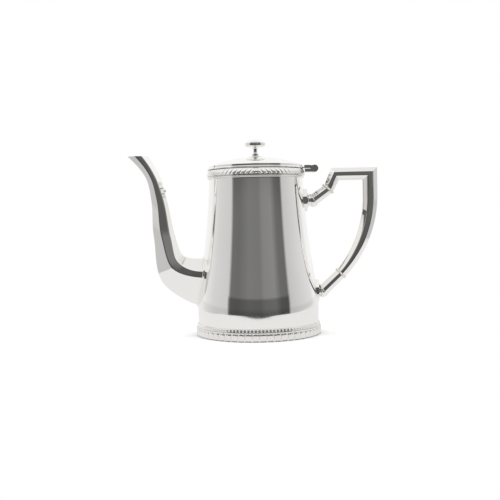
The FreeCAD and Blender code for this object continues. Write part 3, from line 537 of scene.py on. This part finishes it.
def handleRows(s):
    # sections of the rise, the bar and the back; the back's spots lie on a circle that leaves its top upright
    # its half height narrows by the mean of the share and the share squared, its half width by the square
    start, corner = along(upperRing, ringHeading, s["gap"]), s["corner"]
    rows = [octagon(*start, ringHeading, ringHalf, s["endWide"], s["shares"]),
            octagon(*barStart, cornerHeading, cornerHalf, s["barWide"], s["shares"]),
            octagon(*back, headingOf(corner), np.hypot(*corner) / 2, s["barWide"], s["backShares"])]
    for share in np.linspace(0, 1, s["backStations"])[:-1]:
        turn = radians(backTurn * share)
        spot = (back[0] - backBend * (1 - np.cos(turn)), s["backTop"] - backBend * np.sin(turn))
        half = s["backHalf"] + (s["endHalf"] - s["backHalf"]) * (share + share ** 2) / 2
        wide = s["barWide"] + (s["endWide"] - s["barWide"]) * share ** 2
        narrow = min(max(share - s["narrowFrom"], 0) / s["narrowOver"], 1)
        shares = np.array(s["backShares"]) * (1 - narrow) + np.array(s["shares"]) * narrow
        rows.append(octagon(*spot, 180 + backTurn * share, half, wide, shares))
    end = along(lowerRing, lowerHeading + 180, -s["gap"])
    rows.append(octagon(*end, 180 + lowerHeading, lowerHalf, s["endWide"], s["shares"]))
    return np.stack(rows)


handleRings = rounded(handleRows(handleSettings), handleSettings["edge"])
tube("faceted_handle", handleRings[:, ::-1], handleSettings, True)

# sockets: flared foot on the pot, stub, collar bead and slanting tube
socketSettings = dict(faceted, edge=0.5, buried=6.0, sunk=0.6, stubHalf=5.4, stubWide=5.0, flare=2.2,
                      flareHalf=4.8, flareWide=1.5, hollow=2.2, collarHigh=1.2, collarHalf=1.6,
                      collarRise=0.35, neckHalf=5.3, neckWide=4.9, stations=9)


def socket(name, nodes, collar, ring, heading, headIn, half, footRun):
    # the flare falls away as a power of the way along it, the collar's bead is half a circle
    s, shares = socketSettings, handleSettings["shares"]
    foot = collar[0] - footRun
    rows = [octagon(foot - s["buried"], collar[1], 90, s["stubHalf"] + s["flareHalf"],
                    s["stubWide"] + s["flareWide"], shares)]
    for share in np.linspace(0, 1, s["stations"]):
        cove = (1 - share) ** s["hollow"]
        rows.append(octagon(foot + s["flare"] * share, collar[1], 90, s["stubHalf"] + s["flareHalf"] * cove,
                            s["stubWide"] + s["flareWide"] * cove, shares))
    for share in np.linspace(-1, 1, s["stations"]):
        lift = s["collarHigh"] * np.sqrt(1 - share ** 2)
        lean = 90 + (headIn - 90) * (share + 1) / 2
        spot = collar + s["collarHalf"] * np.array([share, s["collarRise"] * max(share, 0)])
        rows.append(octagon(*spot, lean, s["neckHalf"] + lift, s["neckWide"] + lift, shares))
    end = along(ring, heading, -handleSettings["gap"])
    rows.append(octagon(*end, heading, half, handleSettings["endWide"], shares))
    rings = rounded(np.stack(rows), s["edge"])
    rings[0, :, 0] = np.sqrt((potRadius(rings[0, :, 2]) - s["sunk"]) ** 2 - rings[0, :, 1] ** 2)
    tube(name, rings[:, ::-1], dict(s, nodes=nodes), True)


socket("upper_handle_socket", ["upper_socket"], upperCollar, upperRing, ringHeading, tubeHeading, ringHalf,
       footRun=5.0)
socket("lower_handle_socket", ["lower_socket"], lowerCollar, lowerRing, lowerHeading, footHeading, lowerHalf,
       footRun=3.2)

# insulating rings between sockets and handle; a step is the way along the handle and how far the ring stands
# proud of it
ringSettings = dict(plate, edge=0.6, sharp=40, material=resin, slot="insulator_resin",
                    steps=[(-0.95, -0.5), (-0.95, 0.7), (-0.75, 1.0), (-0.4, 1.1), (0.4, 1.1), (0.75, 1.0),
                           (0.95, 0.7), (0.95, -0.5)])
for name, node, spot, heading, half in (
        ("upper_insulating_ring", "upper_insulator", upperRing, ringHeading, ringHalf),
        ("lower_insulating_ring", "lower_insulator", lowerRing, lowerHeading, lowerHalf)):
    rows = [octagon(*along(spot, heading, reach), heading, half + grow, handleSettings["endWide"] + grow,
                    handleSettings["shares"]) for reach, grow in ringSettings["steps"]]
    tube(name, rounded(np.stack(rows), ringSettings["edge"])[:, ::-1], dict(ringSettings, nodes=[node]), True)
print("handle made")

# CAD nodes, the small fittings among them still showing, in the same materials
for name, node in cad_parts.items():
    node.data.materials.clear()
    node.data.materials.append(resin if "insulator" in name else silver)
print("fittings dressed")

# floor: a white paper-topped table for the camera, fading to plain white away from the pot's shadow; the
# silver shows only a white sheet under the pot, with a bowed, wavy front edge
# grain is in mm, the rest in metres; real paper grain is too fine to show and is drawn coarser
floorSettings = {"paper": ("#f6f6f6", "#fdfdfd"), "grain": 1.11, "grainDetail": 2.0, "sheet": "#f2f2f2",
                 "left": -0.25, "right": 0.28, "rightEnd": 0.44, "front": -0.214, "bow": 2.0, "wave": 0.015,
                 "waveLong": 0.34, "fadeFrom": 0.062, "fadeTo": 0.14,
                 "corners": [(-12, -3, 0), (12, -3, 0), (12, 12, 0), (-12, 12, 0)]}


def makeFloor(settings):
    material, tree = newMaterial("whiteTable")
    path = addNode(tree, "ShaderNodeLightPath")
    place = addNode(tree, "ShaderNodeTexCoord").outputs["Object"]
    grain = addNode(tree, "ShaderNodeTexNoise", {"Scale": 1 / (settings["grain"] * mm), "Vector": place,
                                                 "Detail": settings["grainDetail"]}).outputs["Fac"]
    paper = mixNode(tree, grain, *[srgb(code) for code in settings["paper"]])
    table = addNode(tree, "ShaderNodeBsdfDiffuse", {"Color": paper})
    white = addNode(tree, "ShaderNodeEmission", {"Color": (1, 1, 1, 1), "Strength": 1.0})
    far = addNode(tree, "ShaderNodeVectorMath", {"operation": "LENGTH", 0: place})
    fade = rangeNode(tree, far.outputs["Value"], settings["fadeFrom"], settings["fadeTo"])
    seen = addNode(tree, "ShaderNodeMixShader", {0: fade, 1: table, 2: white})
    # the sheet's front edge: y less bow times x squared, less a cosine wave along x, past the front's y
    parts = addNode(tree, "ShaderNodeSeparateXYZ", {0: place})
    x, y = parts.outputs["X"], parts.outputs["Y"]
    left = mathNode(tree, "GREATER_THAN", x, settings["left"])
    right = rangeNode(tree, x, settings["right"], settings["rightEnd"], 1.0, 0.0)
    bowed = mathNode(tree, "MULTIPLY_ADD", mathNode(tree, "MULTIPLY", x, x), -settings["bow"], y)
    swing = mathNode(tree, "COSINE", mathNode(tree, "MULTIPLY", x, 2 * np.pi / settings["waveLong"]))
    waved = mathNode(tree, "MULTIPLY_ADD", swing, -settings["wave"], bowed)
    front = mathNode(tree, "GREATER_THAN", waved, settings["front"] - settings["wave"])
    sheet = mathNode(tree, "MULTIPLY", mathNode(tree, "MULTIPLY", left, right), front)
    clear = addNode(tree, "ShaderNodeBsdfTransparent")
    glow = addNode(tree, "ShaderNodeEmission", {"Color": srgb(settings["sheet"]), "Strength": 1.0})
    mirrored = addNode(tree, "ShaderNodeMixShader", {0: sheet, 1: clear, 2: glow})
    mixed = addNode(tree, "ShaderNodeMixShader", {0: path.outputs["Is Glossy Ray"], 1: seen, 2: mirrored})
    addNode(tree, "ShaderNodeOutputMaterial", {"Surface": mixed})
    mesh = bpy.data.meshes.new("table")
    mesh.from_pydata(settings["corners"], [], [[0, 1, 2, 3]])
    mesh.materials.append(material)
    floor = bpy.data.objects.new("table", mesh)
    bpy.context.scene.collection.objects.link(floor)


makeFloor(floorSettings)

# studio round the pot: dark wall behind the camera, pale panels beside it, white behind the pot and a bright
# ceiling; room and strips are brightness by bearing in degrees from the near side, wallEnd is where the wall
# meets the panels; the rest go by height, the sine of the elevation, as start and end, then low and high
studioSettings = {
    "room": [(-180, 0.98), (-132, 0.98), (-120, 0.86), (-95, 0.72), (-61, 0.66), (-55.5, 0.17), (-40, 0.16),
             (-18, 0.21), (4, 0.20), (12, 0.25), (32, 0.27), (44, 0.16), (58, 0.15), (63.5, 0.60), (95, 0.72),
             (120, 0.80), (132, 0.98), (180, 0.98)],
    "strips": [(-180, 1), (-121, 1), (-120, 0.2), (-116, 0.2), (-115, 1), (132, 1), (133, 0.2), (137, 0.2),
               (138, 1), (180, 1)],
    "wallEnd": (55.5, 61), "panelFloor": 0.88, "panelClimb": 0.12, "ceilingFrom": (0.40, 0.52),
    "wallFoot": (0.118, 0.156, 0.55, 1.0), "stripsFrom": (0.08, 0.09), "under": (-0.12, -0.01, 0.6, 1.0),
    "ceiling": (0.8, 0.93, 1.02, 0.9)}


def makeStudio(settings):
    world = bpy.data.worlds.new("studio")
    bpy.context.scene.world = world
    world.use_nodes = True
    tree = world.node_tree
    tree.nodes.clear()
    coords = addNode(tree, "ShaderNodeTexCoord")
    parts = addNode(tree, "ShaderNodeSeparateXYZ", {0: coords.outputs["Generated"]})
    height = parts.outputs["Z"]
    nearer = mathNode(tree, "MULTIPLY", parts.outputs["Y"], -1.0)
    bearing = mathNode(tree, "ARCTAN2", parts.outputs["X"], nearer)
    turn = rangeNode(tree, bearing, -np.pi, np.pi)

    def ramp(rows):
        # grey by bearing, a stop for each row
        node = addNode(tree, "ShaderNodeValToRGB", {"Fac": turn})
        while len(node.color_ramp.elements) < len(rows):
            node.color_ramp.elements.new(0.5)
        for element, (degrees, level) in zip(node.color_ramp.elements, rows):
            element.position = degrees / 360 + 0.5
            element.color = (level, level, level, 1)
        return node.outputs["Color"]

    wallEnd = [radians(degrees) for degrees in settings["wallEnd"]]
    beside = mathNode(tree, "ABSOLUTE", bearing)
    aside = rangeNode(tree, beside, *wallEnd)
    pale = rangeNode(tree, beside, *wallEnd, 0.0, settings["panelFloor"])
    wallFoot = rangeNode(tree, height, *settings["wallFoot"])
    shade = mathNode(tree, "MAXIMUM", aside, wallFoot)
    room = addNode(tree, "ShaderNodeVectorMath", {"operation": "SCALE", 0: ramp(settings["room"]),
                                                  "Scale": shade})
    stripsFrom = rangeNode(tree, height, *settings["stripsFrom"])
    lined = mixNode(tree, stripsFrom, room, ramp(settings["strips"]), "MULTIPLY")
    level = mathNode(tree, "MAXIMUM", rangeNode(tree, height, *settings["under"]), pale)
    based = addNode(tree, "ShaderNodeVectorMath", {"operation": "SCALE", 0: lined, "Scale": level})
    climb = mathNode(tree, "MULTIPLY_ADD", aside, settings["panelClimb"], height)
    lift = rangeNode(tree, climb, *settings["ceilingFrom"])
    lit = mixNode(tree, lift, based, rangeNode(tree, height, *settings["ceiling"]))
    path = addNode(tree, "ShaderNodeLightPath")
    seen = mixNode(tree, path.outputs["Is Camera Ray"], lit, (1, 1, 1, 1))
    sky = addNode(tree, "ShaderNodeBackground", {"Strength": 1.0, "Color": seen})
    addNode(tree, "ShaderNodeOutputWorld", {"Surface": sky})


makeStudio(studioSettings)

# softbox overhead for the shadow on the table; the silver shows the ceiling in its place
lampSettings = {"size": 1.6, "power": 20.0, "spot": (-0.2, 0.15, 1.7)}
light = bpy.data.lights.new("softbox", "AREA")
light.shape, light.size, light.energy = "DISK", lampSettings["size"], lampSettings["power"]
lamp = bpy.data.objects.new("softbox", light)
lamp.location = lampSettings["spot"]
lamp.visible_glossy = False
bpy.context.scene.collection.objects.link(lamp)
print("studio made")

# camera: eye at about three fifths of the pot's height, tipped slightly down and rolled as the photograph is
cameraSettings = {"away": 0.7176, "high": 0.108, "side": -0.0067, "pitch": 2.5, "roll": -1.2, "lens": 56.16,
                  "sensor": 36.0, "clip": (0.01, 50)}
view = bpy.data.cameras.new("camera")
view.lens, view.sensor_width = cameraSettings["lens"], cameraSettings["sensor"]
view.clip_start, view.clip_end = cameraSettings["clip"]
eye = bpy.data.objects.new("camera", view)
bpy.context.scene.collection.objects.link(eye)
spot = (cameraSettings["side"], -cameraSettings["away"], cameraSettings["high"])
eye.matrix_world = (Matrix.Translation(spot)
                    @ Euler((radians(90 - cameraSettings["pitch"]), 0, 0)).to_matrix().to_4x4()
                    @ Matrix.Rotation(radians(cameraSettings["roll"]), 4, "Z"))
bpy.context.scene.camera = eye
bpy.context.scene.view_settings.view_transform = "Standard"
print("camera set")
